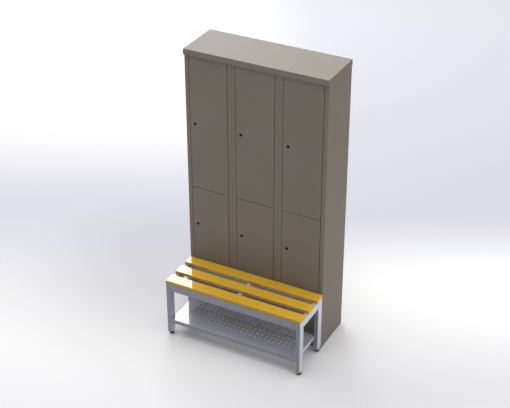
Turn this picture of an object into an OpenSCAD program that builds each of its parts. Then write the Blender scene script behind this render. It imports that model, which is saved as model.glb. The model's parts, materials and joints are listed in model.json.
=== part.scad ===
// Steel locker with three columns of two doors, a common top cap and a slatted
// bench with a perforated shoe shelf standing against its front.
// Millimetres. X runs along the front from left to right, Y from the front to
// the rear, Z up. The origin lies on the floor under the middle of the whole
// object, in the plane where the bench meets the locker.

/* [Locker body] */
// Width of one locker column
column_w = 300; // [260:5:400]
// Depth of the locker body
locker_d = 300; // [260:5:500]
// Height of the locker over its cap
locker_h = 1800; // [1700:10:2000]
// Thickness of the body and door sheet
sheet_t = 1; // [0.8:0.1:1.5]
// Inside radius of the sheet bends
bend_r = 0.5; // [0.3:0.1:1]
// Width of the stile beside each door
stile_w = 25; // [22:1:40]
// Depth of the stile behind its face
stile_d = 20; // [19.5:0.5:24]
// Length of the stile's inner return
stile_lip = 12; // [8:1:14]
// Length of the return at the rear of each wall
rear_lip = 15; // [10:1:25]
// Height of the flange of the base pan
base_pan_h = 25; // [15:1:40]

/* [Top cap] */
// Height of the cap's flange
cap_h = 35; // [25:1:38]
// Overhang of the cap at each side
cap_side = 2; // [1.5:0.5:6]
// Overhang of the cap at the front
cap_front = 10; // [4:1:20]
// Height of the head rail above the upper doors
head_h = 36; // [33:1:60]

/* [Doors] */
// Depth of the folded door pan
door_d = 18; // [15:0.5:18.5]
// Gap at the hinge edge of a door
gap_hinge = 3; // [2.5:0.5:5]
// Gap at the lock edge of a door
gap_lock = 2; // [1.5:0.5:4]
// Gap above and below a door
gap_level = 3; // [3:0.5:5]
// Height of a lower door
lower_door_h = 502; // [350:1:700]
// Height of the lower doors above the bench seat
door_over_seat = 4; // [4:1:20]
// Length of the return behind each long door edge
door_lip = 14; // [8:1:18]
// Distance of the hinge axis from the door's hinge edge
pivot_in = 8; // [7:0.5:10]
// Distance of the hinge axis from the door's face
pivot_back = 6; // [5.5:0.5:6.5]
// Radius of a hinge pin
pin_r = 2.5; // [2:0.1:3]
// Depth of a hinge pin in the door
pin_bite = 12; // [8:1:16]
// Thickness of a hinge tab
tab_t = 2; // [1.5:0.1:2.2]
// Radius of the hinge tab round its pin
tab_r = 5; // [4:0.5:5.5]
// Width of the stiffening channel inside a door
channel_w = 70; // [50:5:90]
// Width of each foot of the channel
channel_foot = 14; // [8:1:18]
// Distance of the channel's ends from the door's ends
channel_end = 45; // [30:5:80]
// Distance of the channel's crown from the door's rear edge
channel_back = 4; // [3:0.5:6]

/* [Locks] */
// Distance of the lock from the door's lock edge
lock_in = 33; // [30:1:40]
// Radius of the lock's head
lock_head_r = 9; // [8.5:0.5:12]
// Height of the lock's head above the door
lock_head_h = 2; // [1:0.5:4]
// Chamfer round the lock's head
lock_edge = 0.8; // [0.3:0.1:0.8]
// Depth of the dish round the plug
lock_dish = 0.6; // [0.3:0.1:0.8]
// Radius of the lock's barrel
barrel_r = 8; // [7:0.5:8]
// Depth of the two flats that stop the barrel from turning in the door
barrel_flat = 0.7; // [0.3:0.1:0.8]
// Length of the lock's barrel behind the door's face
barrel_len = 18.5; // [16:0.5:19]
// Radius of the turning plug
plug_r = 5.5; // [4:0.5:6]
// Width of the fixing nut across its flats
lock_nut_w = 20; // [18:1:24]
// Thickness of the fixing nut
lock_nut_t = 4; // [3:0.5:6]
// Width of the cam
cam_w = 15; // [12:1:18]
// Reach of the cam from the plug's axis
cam_reach = 46; // [42:1:50]
// Thickness of the cam
cam_t = 2; // [1.5:0.5:3]
// Side of the plug's square end
cam_square = 6; // [5:0.5:7]
// Width of the key slot
key_slot_w = 1.2; // [1:0.1:2]
// Length of the key slot
key_slot_len = 6.5; // [5:0.5:8]
// Depth of the key slot
key_slot_depth = 8; // [4:0.5:12]

/* [Inside the locker] */
// Height of the flange of a shelf tray
tray_h = 25; // [15:1:40]
// Length of the return under the front flange of a shelf tray
tray_lip = 12; // [8:1:20]
// Height of the hat shelf over the upper locks
hat_over_lock = 179; // [150:1:220]
// Distance of the coat rail below the hat shelf
rail_drop = 70; // [50:5:120]
// Radius of the coat rail
rail_r = 10; // [8:0.5:15]
// Wall of the coat rail
rail_wall = 1.2; // [1:0.1:2]
// Wall of a coat rail socket
cup_wall = 5; // [2:0.5:8]
// Depth of a coat rail socket
cup_d = 8; // [5:0.5:15]

/* [Wall fixing] */
// Radius of a wall fixing hole
fixing_r = 4.5; // [3:0.5:6]
// Distance of the upper fixing holes below the top
fixing_drop = 100; // [60:5:200]
// Distance between the two rows of fixing holes
fixing_pitch = 700; // [500:10:750]

/* [Bench] */
// Height of the seat
bench_h = 400; // [380:5:480]
// Depth of the seat
bench_d = 300; // [280:5:420]
// Width of a seat slat
slat_w = 72; // [65:1:85]
// Thickness of a seat slat
slat_t = 20; // [16:1:30]
// Radius of a slat's long edges
slat_edge_r = 2.5; // [1:0.5:5]
// Thickness of the frame tubes
tube_w = 25; // [20:1:40]
// Width of the legs and height of the rails
tube_h = 50; // [40:1:58]
// Wall of the frame tubes
tube_wall = 2; // [1.5:0.1:3]
// Corner radius of the frame tubes
tube_corner = 2; // [1:0.5:2]

/* [Shoe shelf] */
// Height of the shelf's top over the floor
shelf_h = 120; // [100:5:180]
// Height of the shelf's flange
shelf_flange = 25; // [15:1:40]
// Length of the return under the shelf's front flange
shelf_lip = 12; // [8:1:20]
// Thickness of the shelf's sheet
shelf_t = 1.5; // [1:0.1:2]
// Distance of the shelf's rear edge from the locker
shelf_rear = 40; // [30:1:48]
// Radius of a perforation
perf_r = 7.5; // [4:0.5:9]
// Distance between perforations
perf_pitch = 32; // [24:1:40]
// Least plain margin at the shelf's ends
perf_margin_end = 80; // [50:5:120]
// Distance of the last row from the shelf's rear edge
perf_margin_rear = 14; // [12:1:30]
// Least plain margin at the shelf's front edge
perf_margin_front = 80; // [60:5:120]

/* [Levelling feet] */
// Height of a leg over the floor
foot_h = 20; // [18:1:30]
// Radius of a foot pad
pad_r = 14; // [12:0.5:20]
// Height of a foot pad
pad_h = 12; // [8:0.5:14]
// Height of the upright rim of a foot pad
pad_rim = 4; // [2:0.5:6]
// Radius of the top of a foot pad
pad_top_r = 9; // [8:0.5:12]
// Radius of the shoulder on the foot's stem
shoulder_r = 7; // [5:0.5:8.5]
// Radius of the foot's stem
stem_r = 4; // [3:0.5:5]
// Length of the foot's stem inside the leg
stem_len = 28; // [22:1:40]
// Height of the plastic insert in a leg
insert_h = 20; // [15:1:30]

/* [Fasteners] */
// Radius of a slat screw
screw_r = 2.2; // [1.5:0.1:3]
// Length of a slat screw in the slat
screw_bite = 15; // [10:1:15]
// Radius of a slat screw's head
screw_head_r = 4.5; // [4:0.1:6]
// Height of a slat screw's head
screw_head_h = 2.5; // [2:0.1:4]
// Radius of the access hole under a slat screw
access_r = 6; // [5.5:0.5:8]
// Distance of the outer slat screws from the legs
screw_in = 8; // [7:1:16]
// Radius of a joining bolt
bolt_r = 3; // [2.5:0.5:4]
// Width of a joining bolt's head across its flats
bolt_head_w = 10; // [9:1:13]
// Height of a joining bolt's head
bolt_head_h = 4; // [3:0.5:6]
// Thickness of a joining nut
bolt_nut_t = 5; // [4:0.5:7]
// Length of the bolt's end past its nut
bolt_end = 2; // [1:0.5:4]

/* [Fits] */
// Radial clearance of a turning or sliding round piece
run_gap = 0.05; // [0.03:0.01:0.08]
// Radial clearance of a fixed round piece
fixed_gap = 0.02; // [0.01:0.01:0.05]
// Clearance of a piece pushed into a tube
insert_gap = 0.1; // [0.05:0.05:0.3]
// Clearance of a screw in its drilled hole
hole_gap = 0.3; // [0.2:0.1:1]
// Gap that a weld closes between two pieces
weld_gap = 0.05; // [0.02:0.01:0.2]
// Gap between the foot's shoulder and the leg
foot_gap = 0.3; // [0.3:0.1:1]
// Gap between the cam and the stile's return
cam_gap = 0.8; // [0.5:0.1:2]
// Gap between a swinging door's inner corner and the shelves
swing_gap = 1; // [0.5:0.5:3]

/* [Hidden] */

// Reach of a cut past the faces that it opens
over = 1;
// Straight steps round one sheet bend
bend_steps = 3;
// Straight steps round one tube corner
corner_steps = 4;
// Sides of the round pieces
$fn = 48;
// Sides of a perforation
perf_sides = 24;

columns = [0, 1, 2];
levels = ["lower", "upper"];
outer_r = bend_r + sheet_t;
locker_w = column_w * len(columns);
body_top = locker_h - sheet_t;
head_z = locker_h - head_h;
back_y = locker_d - 2 * sheet_t;
tray_w = column_w - 2 * sheet_t;
doorway_w = column_w - 2 * stile_w;

lower_door_z = bench_h + door_over_seat;
lower_door_top = lower_door_z + lower_door_h;
upper_door_z = lower_door_top + gap_level;
upper_door_h = head_z - gap_level - upper_door_z;
upper_door_top = upper_door_z + upper_door_h;
plinth_top = lower_door_z - gap_level;
door_w = doorway_w - gap_lock - gap_hinge;
door_x = stile_w + gap_lock;
pivot_x = door_x + door_w - pivot_in;
swing_y = pivot_back + norm([pivot_in, door_d - pivot_back]) + swing_gap;
shelf_y = max(stile_d, swing_y);
door_z = [lower_door_z, upper_door_z];
door_h = [lower_door_h, upper_door_h];
lock_z = door_z + door_h / 2;
hat_shelf_z = lock_z[1] + hat_over_lock;
coat_rail_z = hat_shelf_z - rail_drop;
lock_x = door_x + lock_in;
fixing_z = [locker_h - fixing_drop, locker_h - fixing_drop - fixing_pitch];
cam_y = stile_d + cam_gap;

rail_z = bench_h - slat_t - tube_h;
rail_top = rail_z + tube_h;
frame_w = locker_w - 2 * tube_w;
slat_pitch = (bench_d - slat_w) / 2;
shelf_d = bench_d - shelf_rear;
perf_columns = floor((frame_w - 2 * perf_margin_end) / perf_pitch) + 1;
perf_rows = floor((shelf_d - perf_margin_rear - perf_margin_front) / perf_pitch) + 1;
leg_x = (locker_w - tube_w) / 2;
foot_y = [-bench_d + tube_h / 2, -tube_h / 2];
screw_spread = bench_d / 2 - tube_h - screw_in;
bolt_x = column_w;
bolt_z = rail_z + tube_h / 2;

body_paint = "#7a746a";
bench_paint = "#b4b6c2";
slat_paint = "#c99a34";
lock_black = "#1b1b1c";
zinc = "#b9bcc0";
black_plastic = "#26282a";

function column_x(i) = -locker_w / 2 + i * column_w;
function is_outer(i) = i == 0 || i == len(columns) - 1;

// Points round an arc from one angle over a sweep
function arc(c, r, start, sweep, steps) =
  [for (k = [0:steps]) c + r * [cos(start + sweep * k / steps), sin(start + sweep * k / steps)]];

function left_of(v) = [-v[1], v[0]];
function unit(v) = v / norm(v);
function turn_of(u, v) = u[0] * v[1] - u[1] * v[0] > 0 ? 1 : -1;

// One bend of a folded sheet, on the line that lies off to the left of its face
function bend(p, u, v, off, thickness, inside) =
  let (
    s = turn_of(u, v),
    angle = acos(u * v),
    face_r = s > 0 ? inside + thickness : inside,
    c = p - u * face_r * tan(angle / 2) + left_of(u) * s * face_r,
    from = -left_of(u) * s
  )
  arc(c, face_r - s * off, atan2(from[1], from[0]), s * angle, bend_steps);

// The line of a folded sheet's face, moved off to its left
function fold_line(path, off, thickness, inside) =
  let (n = len(path) - 1)
  concat(
    [path[0] + left_of(unit(path[1] - path[0])) * off],
    [for (k = [1:n - 1])
      each bend(path[k], unit(path[k] - path[k - 1]), unit(path[k + 1] - path[k]), off, thickness, inside)],
    [path[n] + left_of(unit(path[n] - path[n - 1])) * off]
  );

function reversed(list) = [for (k = [len(list) - 1:-1:0]) list[k]];

// Outline of a sheet folded along a path, with its thickness to the left
function folded(path, thickness, inside) =
  concat(fold_line(path, 0, thickness, inside), reversed(fold_line(path, thickness, thickness, inside)));

// Outline of a block with its two front corners rounded
function front_round(w, d, r) =
  concat(
    [[0, d]],
    arc([r, r], r, 180, 90, bend_steps),
    arc([w - r, r], r, 270, 90, bend_steps),
    [[w, d]]
  );

// Outline of a bar with four round corners, centred
function round_bar(w, d, r) =
  [for (q = [0:3])
    let (c = [(q == 0 || q == 3 ? 1 : -1) * (w / 2 - r), (q < 2 ? 1 : -1) * (d / 2 - r)])
    each arc(c, r, q * 90, 90, corner_steps)];

// Block with its front edges rounded, front face on y = 0
module front_block(w, d, h, r) {
  intersection() {
    linear_extrude(height = h) polygon(front_round(w, d, r));
    rotate([90, 0, 90]) linear_extrude(height = w) polygon([for (p = front_round(h, d, r)) [p[1], p[0]]]);
  }
}

// Folded pan open at its back, with its face on y = 0
module pan(w, d, h, thickness = sheet_t) {
  difference() {
    front_block(w, d, h, bend_r + thickness);
    translate([thickness, thickness, thickness])
      front_block(w - 2 * thickness, d, h - 2 * thickness, bend_r);
  }
}

// Pan with its face up at z = 0 and its flanges down
module pan_up(w, d, drop, thickness = sheet_t) {
  rotate([-90, 0, 0]) pan(w, drop, d, thickness);
}

// Pan with its face down at z = 0 and its flanges up
module pan_down(w, d, rise) {
  translate([0, d, 0]) rotate([90, 0, 0]) pan(w, rise, d);
}

// Places the children on a column's left edge
module in_column(i) {
  translate([column_x(i), 0, 0]) children();
}

// Round bar along Y that starts on y = 0
module y_rod(r, len) {
  rotate([-90, 0, 0]) cylinder(r = r, h = len);
}

// Round bar along Y with a flat cut on its left and on its right
module flatted_rod(r, len, cut) {
  intersection() {
    y_rod(r, len);
    translate([cut - r, 0, -r]) cube([2 * (r - cut), len, 2 * r]);
  }
}

// Six-sided bar along Y that starts on y = 0
module y_hex(flats, len) {
  rotate([-90, 0, 0]) cylinder(d = flats / cos(30), h = len, $fn = 6);
}

// Rectangular tube along Z, centred on its axis
module tube(w, d, len) {
  difference() {
    linear_extrude(height = len) polygon(round_bar(w, d, tube_corner));
    translate([0, 0, -over])
      linear_extrude(height = len + 2 * over)
        square([w - 2 * tube_wall, d - 2 * tube_wall], center = true);
  }
}

// Folded side wall with its stile at the front and its return at the rear
module wall_sheet() {
  path = [
    [rear_lip, locker_d], [0, locker_d], [0, 0], [stile_w, 0],
    [stile_w, stile_d], [stile_w - sheet_t - stile_lip, stile_d]
  ];
  linear_extrude(height = body_top) polygon(folded(path, sheet_t, bend_r));
}

module side_wall_left(i) {
  color(body_paint) in_column(i) wall_sheet();
}

module side_wall_right(i) {
  color(body_paint) in_column(i) translate([column_w, 0, 0]) mirror([1, 0, 0]) wall_sheet();
}

// Flat back of each column, with wall fixing holes in the outer two
module back_panels() {
  color(body_paint)
    for (i = columns) in_column(i)
      difference() {
        translate([outer_r, back_y, 0]) cube([column_w - 2 * outer_r, sheet_t, body_top]);
        if (is_outer(i))
          for (z = fixing_z)
            translate([column_w / 2, back_y - over, z]) y_rod(fixing_r, sheet_t + 2 * over);
      }
}

module base_pans() {
  color(body_paint)
    for (i = columns) in_column(i)
      translate([sheet_t, stile_d, 0]) pan_down(tray_w, back_y - stile_d, base_pan_h);
}

// Panel below each lower door, drilled in the outer columns for the bench
module plinth_panels() {
  color(body_paint)
    for (i = columns) in_column(i)
      difference() {
        translate([stile_w, 0, 0]) pan(doorway_w, stile_d, plinth_top);
        if (is_outer(i))
          translate([column_w / 2, -over, bolt_z]) y_rod(bolt_r + hole_gap, sheet_t + 2 * over);
      }
}

module head_rails() {
  color(body_paint)
    for (i = columns) in_column(i)
      translate([stile_w, 0, head_z]) pan(doorway_w, stile_d, body_top - head_z);
}

// Return along the foot of a front flange, for a pan with its face up at z = 0
module front_lip(w, drop, lip, thickness = sheet_t) {
  translate([thickness, thickness, -drop]) cube([w - 2 * thickness, lip - thickness, thickness]);
}

// Shelf tray of one column from depth y to the back, with its top at height z
module column_tray(i, y, z) {
  in_column(i)
    translate([sheet_t, y, z]) {
      pan_up(tray_w, back_y - y, tray_h);
      front_lip(tray_w, tray_h, tray_lip);
    }
}

module lower_floors() {
  color(body_paint) for (i = columns) column_tray(i, stile_d, plinth_top);
}

module middle_shelves() {
  color(body_paint) for (i = columns) column_tray(i, shelf_y, upper_door_z);
}

module hat_shelves() {
  color(body_paint) for (i = columns) column_tray(i, shelf_y, hat_shelf_z);
}

// Cap over all columns, open at the rear, with a return under its front flange
module top_cap() {
  cap_w = locker_w + 2 * cap_side;
  cap_d = locker_d + cap_front;
  color(body_paint)
    translate([-cap_w / 2, -cap_front, locker_h]) {
      difference() {
        pan_up(cap_w, cap_d + outer_r + over, cap_h);
        translate([-over, cap_d, -cap_h - over])
          cube([cap_w + 2 * over, outer_r + 2 * over, cap_h + 2 * over]);
      }
      front_lip(cap_w, cap_h, cap_front);
    }
}

module coat_rails() {
  color(zinc)
    for (i = columns) in_column(i)
      translate([sheet_t, locker_d / 2, coat_rail_z]) rotate([0, 90, 0])
        difference() {
          cylinder(r = rail_r, h = tray_w);
          translate([0, 0, -over]) cylinder(r = rail_r - rail_wall, h = tray_w + 2 * over);
        }
}

// Socket round each end of a coat rail
module rail_sockets() {
  color(zinc)
    for (i = columns, end = [0, 1]) in_column(i)
      translate([sheet_t + end * (tray_w - cup_d), locker_d / 2, coat_rail_z]) rotate([0, 90, 0])
        difference() {
          cylinder(r = rail_r + fixed_gap + cup_wall, h = cup_d);
          translate([0, 0, -over]) cylinder(r = rail_r + fixed_gap, h = cup_d + 2 * over);
        }
}

// Heights of the undersides of the hinge tabs, each in the middle of its gap
tab_z = [for (z = [lower_door_z - gap_level, lower_door_top, upper_door_top]) z + (gap_level - tab_t) / 2];

module hinge_tabs() {
  color(zinc)
    for (i = columns, z = tab_z) in_column(i)
      translate([pivot_x, pivot_back, z])
        difference() {
          union() {
            cylinder(r = tab_r, h = tab_t);
            translate([0, -tab_r, 0]) cube([column_w - stile_w - pivot_x, 2 * tab_r, tab_t]);
          }
          translate([0, 0, -over]) cylinder(r = pin_r + fixed_gap, h = tab_t + 2 * over);
        }
}

// Foot and head of each hinge pin: from the floor tab up, through the middle
// tab both ways, and from the head tab down
pin_span = [
  [tab_z[0], lower_door_z + pin_bite],
  [lower_door_top - pin_bite, upper_door_z + pin_bite],
  [upper_door_top - pin_bite, tab_z[2] + tab_t]
];

module hinge_pins() {
  color(zinc)
    for (i = columns, span = pin_span) in_column(i)
      translate([pivot_x, pivot_back, span[0]]) cylinder(r = pin_r, h = span[1] - span[0]);
}

// Folded door with returns behind its long edges, hinge holes and a lock hole
module door_pan(h) {
  difference() {
    union() {
      pan(door_w, door_d, h);
      for (x = [sheet_t, door_w - door_lip])
        translate([x, door_d - sheet_t, sheet_t]) cube([door_lip - sheet_t, sheet_t, h - 2 * sheet_t]);
    }
    translate([door_w - pivot_in, pivot_back, -over]) cylinder(r = pin_r + run_gap, h = h + 2 * over);
    translate([lock_in, -over, h / 2]) flatted_rod(barrel_r + fixed_gap, sheet_t + 2 * over, barrel_flat);
  }
}

// Folded channel welded up the middle of a door's rear face, its feet on y = 0
module door_channel(h) {
  rise = door_d - channel_back - sheet_t - weld_gap;
  path = [
    [0, 0], [channel_foot, 0], [channel_foot, rise - sheet_t],
    [channel_w - channel_foot, rise - sheet_t], [channel_w - channel_foot, 0], [channel_w, 0]
  ];
  linear_extrude(height = h - 2 * channel_end) polygon(folded(path, sheet_t, bend_r));
}

module door(i, level) {
  color(body_paint) in_column(i)
    translate([door_x, 0, door_z[level]]) {
      door_pan(door_h[level]);
      translate([(door_w - channel_w) / 2, sheet_t + weld_gap, channel_end]) door_channel(door_h[level]);
    }
}

// Places the children on a lock's axis at the door's face
module at_lock(i, level) {
  in_column(i) translate([lock_x, 0, lock_z[level]]) children();
}

// Turned head of a lock, chamfered round its rim and dished round the plug
module lock_head() {
  translate([0, -lock_head_h, 0]) rotate([-90, 0, 0])
    rotate_extrude()
      polygon([
        [0, lock_dish], [plug_r + run_gap, lock_dish], [plug_r + run_gap + lock_dish, 0],
        [lock_head_r - lock_edge, 0], [lock_head_r, lock_edge], [lock_head_r, lock_head_h], [0, lock_head_h]
      ]);
}

// Lock barrel with its head before the door and its nut behind it
module lock_barrel(i, level) {
  color(lock_black) at_lock(i, level) {
    difference() {
      union() {
        lock_head();
        flatted_rod(barrel_r, barrel_len, barrel_flat);
      }
      translate([0, -lock_head_h - over, 0]) y_rod(plug_r + run_gap, lock_head_h + barrel_len + 2 * over);
    }
    translate([0, sheet_t, 0])
      difference() {
        y_hex(lock_nut_w, lock_nut_t);
        translate([0, -over, 0]) y_rod(barrel_r + fixed_gap, lock_nut_t + 2 * over);
      }
  }
}

// Turning plug with its key slot, its square end and its retaining head
module lock_plug(i, level) {
  color(lock_black) at_lock(i, level)
    difference() {
      union() {
        translate([0, -lock_head_h, 0]) y_rod(plug_r, lock_head_h + cam_y);
        translate([-cam_square / 2, cam_y, -cam_square / 2]) cube([cam_square, cam_t, cam_square]);
        translate([0, cam_y + cam_t, 0]) y_rod(plug_r, cam_t);
      }
      translate([-key_slot_w / 2, -lock_head_h - over, -key_slot_len / 2])
        cube([key_slot_w, key_slot_depth + over, key_slot_len]);
    }
}

// Cam that hangs down while the door is free and turns behind the stile
module lock_cam(i, level) {
  hole = cam_square + 2 * run_gap;
  color(zinc) at_lock(i, level)
    translate([0, cam_y, 0]) rotate([-90, 0, 0])
      linear_extrude(height = cam_t)
        difference() {
          union() {
            circle(d = cam_w);
            translate([-cam_w / 2, 0]) square([cam_w, cam_reach - cam_w / 2]);
            translate([0, cam_reach - cam_w / 2]) circle(d = cam_w);
          }
          square([hole, hole], center = true);
        }
}

// Access holes in the bottom of a tube and screw holes in its top
module screw_holes(xs) {
  for (x = xs, y = [-screw_spread, 0, screw_spread])
    translate([x, -bench_d / 2 + y, 0]) {
      translate([0, 0, rail_z - over]) cylinder(r = access_r, h = tube_wall + 2 * over);
      translate([0, 0, rail_top - tube_wall - over])
        cylinder(r = screw_r + hole_gap, h = tube_wall + 2 * over);
    }
}

// Legs and side rail of one end of the bench, butted together and welded
module end_frame(side) {
  color(bench_paint) {
    for (y = foot_y) translate([side * leg_x, y, foot_h]) tube(tube_w, tube_h, rail_top - foot_h);
    difference() {
      translate([side * leg_x, -tube_h - weld_gap, rail_z + tube_h / 2]) rotate([90, 0, 0])
        tube(tube_w, tube_h, bench_d - 2 * (tube_h + weld_gap));
      screw_holes([side * leg_x]);
    }
  }
}

module end_frame_left() {
  end_frame(-1);
}

module end_frame_right() {
  end_frame(1);
}

// Rail between the end frames along X, centred on y
module long_rail(y) {
  translate([-frame_w / 2, y, rail_z + tube_h / 2]) rotate([0, 90, 0]) tube(tube_h, tube_w, frame_w);
}

module front_rail() {
  color(bench_paint) long_rail(-bench_d + tube_w / 2);
}

module rear_rail() {
  color(bench_paint)
    difference() {
      long_rail(-tube_w / 2);
      for (side = [-1, 1])
        translate([side * bolt_x, -tube_w - over, bolt_z]) y_rod(bolt_r + hole_gap, tube_w + 2 * over);
    }
}

module cross_tube() {
  color(bench_paint)
    difference() {
      translate([0, -tube_w, rail_z + tube_h / 2]) rotate([90, 0, 0])
        tube(tube_w, tube_h, bench_d - 2 * tube_w);
      screw_holes([0]);
    }
}

// Seat slat with blind pilot holes for the screws under it
module slat(k) {
  y = -bench_d / 2 + (k - 1) * slat_pitch;
  color(slat_paint)
    difference() {
      translate([-locker_w / 2, y, rail_top + slat_t / 2]) rotate([90, 0, 90])
        linear_extrude(height = locker_w) polygon(round_bar(slat_w, slat_t, slat_edge_r));
      for (x = [-leg_x, 0, leg_x])
        translate([x, -bench_d / 2 + (k - 1) * screw_spread, rail_top - over])
          cylinder(r = screw_r + fixed_gap, h = screw_bite + over);
    }
}

module slat_front() {
  slat(0);
}

module slat_middle() {
  slat(1);
}

module slat_rear() {
  slat(2);
}

// Screws that hold the slats from inside the frame tubes
module slat_screws() {
  color(zinc)
    for (x = [-leg_x, 0, leg_x], y = [-screw_spread, 0, screw_spread])
      translate([x, -bench_d / 2 + y, rail_top - tube_wall]) {
        translate([0, 0, -screw_head_h]) cylinder(r = screw_head_r, h = screw_head_h);
        cylinder(r = screw_r, h = tube_wall + screw_bite);
      }
}

// Folded tray between the legs with its grid of perforations
module shoe_shelf() {
  first_x = -(perf_columns - 1) * perf_pitch / 2;
  first_y = -shelf_rear - perf_margin_rear;
  color(bench_paint)
    difference() {
      translate([-frame_w / 2, -bench_d, shelf_h]) {
        pan_up(frame_w, shelf_d, shelf_flange, shelf_t);
        front_lip(frame_w, shelf_flange, shelf_lip, shelf_t);
      }
      for (c = [0:perf_columns - 1], r = [0:perf_rows - 1])
        translate([first_x + c * perf_pitch, first_y - r * perf_pitch, shelf_h - shelf_t - over])
          cylinder(r = perf_r, h = shelf_t + 2 * over, $fn = perf_sides);
    }
}

// Plastic insert in the foot of each leg, bored for the foot's stem
module leg_inserts() {
  w = tube_w - 2 * tube_wall - 2 * insert_gap;
  d = tube_h - 2 * tube_wall - 2 * insert_gap;
  color(black_plastic)
    for (side = [-1, 1], y = foot_y)
      translate([side * leg_x, y, foot_h])
        difference() {
          translate([-w / 2, -d / 2, 0]) cube([w, d, insert_h]);
          translate([0, 0, -over]) cylinder(r = stem_r + run_gap, h = insert_h + 2 * over);
        }
}

// Levelling foot: pad, shoulder and stem turned as one piece
module foot(side, end) {
  shoulder_z = foot_h - foot_gap;
  color(black_plastic)
    translate([side * leg_x, foot_y[end], 0])
      rotate_extrude()
        polygon([
          [0, 0], [pad_r, 0], [pad_r, pad_rim], [pad_top_r, pad_h], [shoulder_r, pad_h],
          [shoulder_r, shoulder_z], [stem_r, shoulder_z], [stem_r, foot_h + stem_len], [0, foot_h + stem_len]
        ]);
}

module foot_front_left() {
  foot(-1, 0);
}

module foot_front_right() {
  foot(1, 0);
}

module foot_rear_left() {
  foot(-1, 1);
}

module foot_rear_right() {
  foot(1, 1);
}

// Bolts that hold the bench's rear rail to the plinth panels
module joining_bolts() {
  color(zinc)
    for (side = [-1, 1])
      translate([side * bolt_x, -tube_w, bolt_z]) {
        translate([0, -bolt_head_h, 0]) y_hex(bolt_head_w, bolt_head_h);
        y_rod(bolt_r, tube_w + sheet_t + bolt_nut_t + bolt_end);
      }
}

module joining_nuts() {
  color(zinc)
    for (side = [-1, 1])
      translate([side * bolt_x, sheet_t, bolt_z])
        difference() {
          y_hex(bolt_head_w, bolt_nut_t);
          translate([0, -over, 0]) y_rod(bolt_r + fixed_gap, bolt_nut_t + 2 * over);
        }
}

for (i = columns) {
  side_wall_left(i);
  side_wall_right(i);
}
back_panels();
base_pans();
plinth_panels();
head_rails();
lower_floors();
middle_shelves();
hat_shelves();
top_cap();
coat_rails();
rail_sockets();
hinge_tabs();
hinge_pins();
for (i = columns, level = [0, 1]) {
  tag = str(levels[level], "_", i + 1);
  door(i, level);
  lock_barrel(i, level);
  lock_plug(i, level);
  lock_cam(i, level);
}
end_frame_left();
end_frame_right();
front_rail();
rear_rail();
cross_tube();
slat_front();
slat_middle();
slat_rear();
slat_screws();
shoe_shelf();
leg_inserts();
foot_front_left();
foot_front_right();
foot_rear_left();
foot_rear_right();
joining_bolts();
joining_nuts();
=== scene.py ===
"""Looks of a steel clothes locker with a slatted bench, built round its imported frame.

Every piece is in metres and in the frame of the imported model: X along the front from
left to right, Y from the front to the rear, Z up, with the floor at zero.
"""

import json
import logging
import math
from dataclasses import dataclass
from enum import Enum
from typing import Any, Callable, ClassVar, Optional, Sequence

import bmesh
import bpy
from mathutils import Matrix, Vector


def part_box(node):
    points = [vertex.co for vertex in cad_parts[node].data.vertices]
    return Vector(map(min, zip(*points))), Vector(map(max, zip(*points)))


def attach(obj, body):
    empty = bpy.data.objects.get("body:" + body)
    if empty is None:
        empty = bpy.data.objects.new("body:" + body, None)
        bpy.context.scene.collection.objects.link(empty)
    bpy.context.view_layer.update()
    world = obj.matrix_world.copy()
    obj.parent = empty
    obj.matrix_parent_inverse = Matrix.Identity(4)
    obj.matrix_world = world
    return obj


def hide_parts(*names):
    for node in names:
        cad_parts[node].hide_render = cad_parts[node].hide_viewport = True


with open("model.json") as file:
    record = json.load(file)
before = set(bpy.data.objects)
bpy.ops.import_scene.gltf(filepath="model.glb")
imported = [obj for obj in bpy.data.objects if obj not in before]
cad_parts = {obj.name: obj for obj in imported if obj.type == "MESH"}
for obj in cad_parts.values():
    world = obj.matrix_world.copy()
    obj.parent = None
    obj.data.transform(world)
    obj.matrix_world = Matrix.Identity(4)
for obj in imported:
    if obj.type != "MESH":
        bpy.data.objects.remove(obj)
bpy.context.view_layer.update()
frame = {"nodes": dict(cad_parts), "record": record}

MM = 0.001
MERGE = 0.001 * MM
ROOT = "frame"
LOG = logging.getLogger("locker")
TO_REAR = Matrix.Rotation(-math.pi / 2, 4, "X")

Inputs = dict[Any, Any]
Mesh = bpy.types.Mesh
Object = bpy.types.Object
Place = tuple[float, float, float]
Profile = Sequence[tuple[float, float]]
RadiusAt = Callable[[int, float], float]
Ring = list[bmesh.types.BMVert]
Socket = bpy.types.NodeSocket
Work = bmesh.types.BMesh


class Level(Enum):
    """The two rows of doors."""

    UPPER = "upper"
    LOWER = "lower"


class Slot(Enum):
    """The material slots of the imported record."""

    BODY = "body_paint"
    BENCH = "bench_paint"
    WOOD = "slat_wood"
    ZINC = "zinc"
    LOCK = "lock_black"
    PLASTIC = "black_plastic"


def linear(hex_colour: str) -> tuple[float, float, float, float]:
    """Turns an sRGB hex colour to linear light.

    Args:
        hex_colour: Six hex digits after a hash.

    Returns:
        Red, green, blue and alpha in linear light.
    """
    parts = [int(hex_colour[k:k + 2], 16) / 255 for k in (1, 3, 5)]
    red, green, blue = (c / 12.92 if c <= 0.04045 else ((c + 0.055) / 1.055) ** 2.4 for c in parts)
    return red, green, blue, 1.0


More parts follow.
